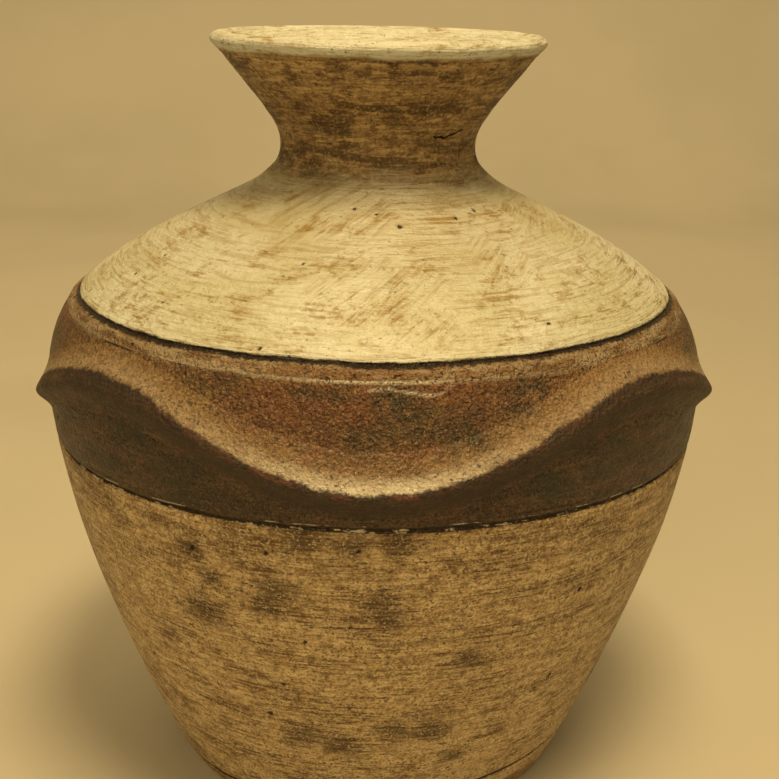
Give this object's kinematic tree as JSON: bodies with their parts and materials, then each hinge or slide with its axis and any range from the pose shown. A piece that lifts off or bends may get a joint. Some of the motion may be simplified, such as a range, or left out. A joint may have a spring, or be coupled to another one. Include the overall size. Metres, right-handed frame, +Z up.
{
  "type": "earthenware jar",
  "caption": "Hollow fired clay jar with a narrow neck, flaring mouth, rolled lip and a wavy applied ridge round the belly.",
  "frame": {"origin": "centre of the flat underside, on the floor", "axes": "+Z up along the jar's axis to the mouth; -Y is the front, where one trough of the wavy ridge is centred"},
  "size_m": [0.2946, 0.2946, 0.32],
  "materials": {
    "raw_clay": "matt unglazed",
    "foot_clay": "matt, rubbed",
    "tan_wash": "matt, brushed wash over buff clay",
    "dark_band": "matt, dark wash with worn patches",
    "ridge_cream": "satin, cream slip worn at the edges",
    "bead_gold": "satin, worn",
    "shoulder_cream": "satin, cream slip with brown streaks",
    "neck_umber": "matt, umber wash",
    "flare_umber": "matt, umber wash outside, cream inside",
    "rim_cream": "satin, cream slip"
  },
  "bodies": {
    "root": {"base_slab": "raw_clay", "foot_ring": "foot_clay", "lower_wall": "tan_wash", "belly_band": "dark_band", "wave_ridge": "ridge_cream", "bead_coil": "bead_gold", "shoulder": "shoulder_cream", "neck_collar": "neck_umber", "mouth_flare": "flare_umber", "rim_lip": "rim_cream"}
  },
  "joints": []
}
